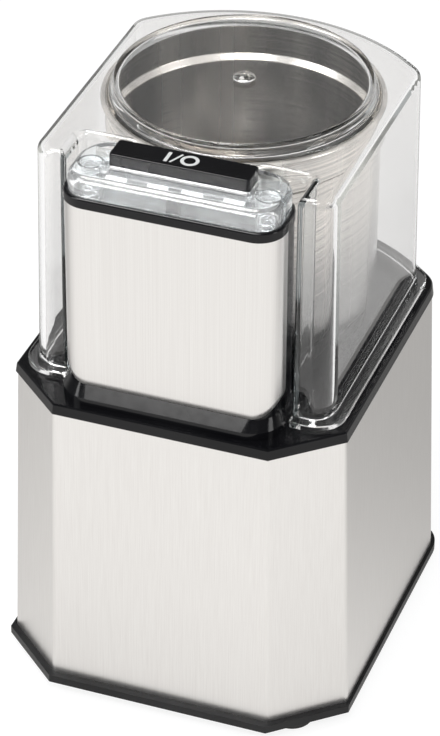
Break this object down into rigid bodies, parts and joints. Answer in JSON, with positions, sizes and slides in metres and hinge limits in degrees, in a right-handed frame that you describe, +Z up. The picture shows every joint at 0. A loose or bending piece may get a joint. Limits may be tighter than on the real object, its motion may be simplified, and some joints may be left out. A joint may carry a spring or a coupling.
{
  "type": "electric spice grinder",
  "caption": "Upright electric spice grinder: steel housing with motor, lift-out steel bowl with blade, and a clear lid whose press bar works the switch in the front column.",
  "frame": {"origin": "middle of the footprint at the level the feet stand on", "axes": "+Z up, +X to the right as seen from the front, -Y towards the front column and its press bar"},
  "size_m": [0.1506, 0.1805, 0.252],
  "materials": {
    "brushed_steel": "vertical brushed grain, satin",
    "bowl_steel": "spun, fine concentric grain",
    "bright_steel": "zinc plated",
    "core_steel": "stacked laminations",
    "cast_aluminium": "die cast",
    "copper": "enamelled copper",
    "bronze": "sintered bronze and brass",
    "carbon": "pressed carbon",
    "gloss_black": "glossy moulded",
    "black_plastic": "fine satin",
    "white_mark": "flat white",
    "clear_plastic": "clear, polished",
    "rubber": "matt",
    "board_green": "solder mask"
  },
  "bodies": {
    "base": {"bottom_cover": "black_plastic", "foot_front_left": "rubber", "foot_front_right": "rubber", "foot_rear_left": "rubber", "foot_rear_right": "rubber", "steel_housing": "brushed_steel", "cover_screws": "bright_steel", "top_deck": "gloss_black", "deck_screws": "bright_steel", "deck_seal": "rubber", "column_housing": "gloss_black", "column_face_plate": "brushed_steel", "column_rim": "gloss_black", "switch_bracket": "bright_steel", "micro_switch": "black_plastic", "plunger_spring": "bright_steel", "stator_core": "core_steel", "field_coils": "copper", "carbon_brushes": "carbon", "brush_holders": "bronze", "lower_bracket": "cast_aluminium", "upper_bracket": "cast_aluminium", "lower_bearing": "bright_steel", "upper_bearing": "bright_steel", "motor_bolts": "bright_steel", "motor_mount_plate": "bright_steel", "motor_isolators": "rubber", "isolator_screws": "bright_steel", "control_board": "board_green", "line_capacitor": "white_mark", "thermal_cutout": "bright_steel", "cord_gland": "black_plastic", "switch_lead": "black_plastic", "supply_lead": "black_plastic"},
    "rotor": {"motor_shaft": "bright_steel", "armature_core": "core_steel", "armature_winding": "copper", "commutator": "copper", "cooling_fan": "black_plastic", "drive_coupling": "black_plastic"},
    "bowl": {"bowl_cup": "bowl_steel", "bowl_base": "black_plastic", "bowl_bushing": "bronze", "bowl_seal": "rubber", "bowl_screws": "bright_steel"},
    "blade_set": {"blade": "bowl_steel", "blade_shaft": "bright_steel", "blade_nut": "bright_steel", "driven_coupling": "black_plastic"},
    "lid": {"lid_cover": "clear_plastic", "button_housing": "clear_plastic", "bar_spring_left": "bright_steel", "bar_spring_right": "bright_steel"},
    "bar": {"press_bar": "gloss_black", "on_off_marks": "white_mark", "bar_carrier": "clear_plastic", "actuator_peg": "black_plastic"},
    "plunger": {"switch_plunger": "black_plastic"}
  },
  "joints": [
    {"name": "lid_lift", "type": "slide", "parent": "base", "child": "lid", "axis": [0, 0, 1], "range_m": [0, 0.2]},
    {"name": "bowl_lift", "type": "slide", "parent": "base", "child": "bowl", "axis": [0, 0, 1], "range_m": [0, 0.08]},
    {"name": "bar_press", "type": "slide", "parent": "lid", "child": "bar", "axis": [0, 0, -1], "range_m": [0, 0.003], "stiffness_N_per_m": 400, "springref_m": -0.005, "deforming": ["bar_spring_left", "bar_spring_right"]},
    {"name": "switch_press", "type": "slide", "parent": "base", "child": "plunger", "axis": [0, 0, -1], "range_m": [0, 0.003], "stiffness_N_per_m": 300, "springref_m": -0.002, "deforming": ["plunger_spring"]},
    {"name": "motor_spin", "type": "hinge", "parent": "base", "child": "rotor", "pos_m": [0, 0.01025, 0.06], "axis": [0, 0, 1], "continuous": true},
    {"name": "blade_spin", "type": "hinge", "parent": "bowl", "child": "blade_set", "pos_m": [0, 0.01025, 0.14], "axis": [0, 0, 1], "continuous": true}
  ],
  "couplings": [
    {"joint": "bowl_lift", "follows": "lid_lift", "ratio": 0.4},
    {"joint": "switch_press", "follows": "bar_press", "ratio": 1},
    {"joint": "blade_spin", "follows": "motor_spin", "ratio": 1}
  ]
}
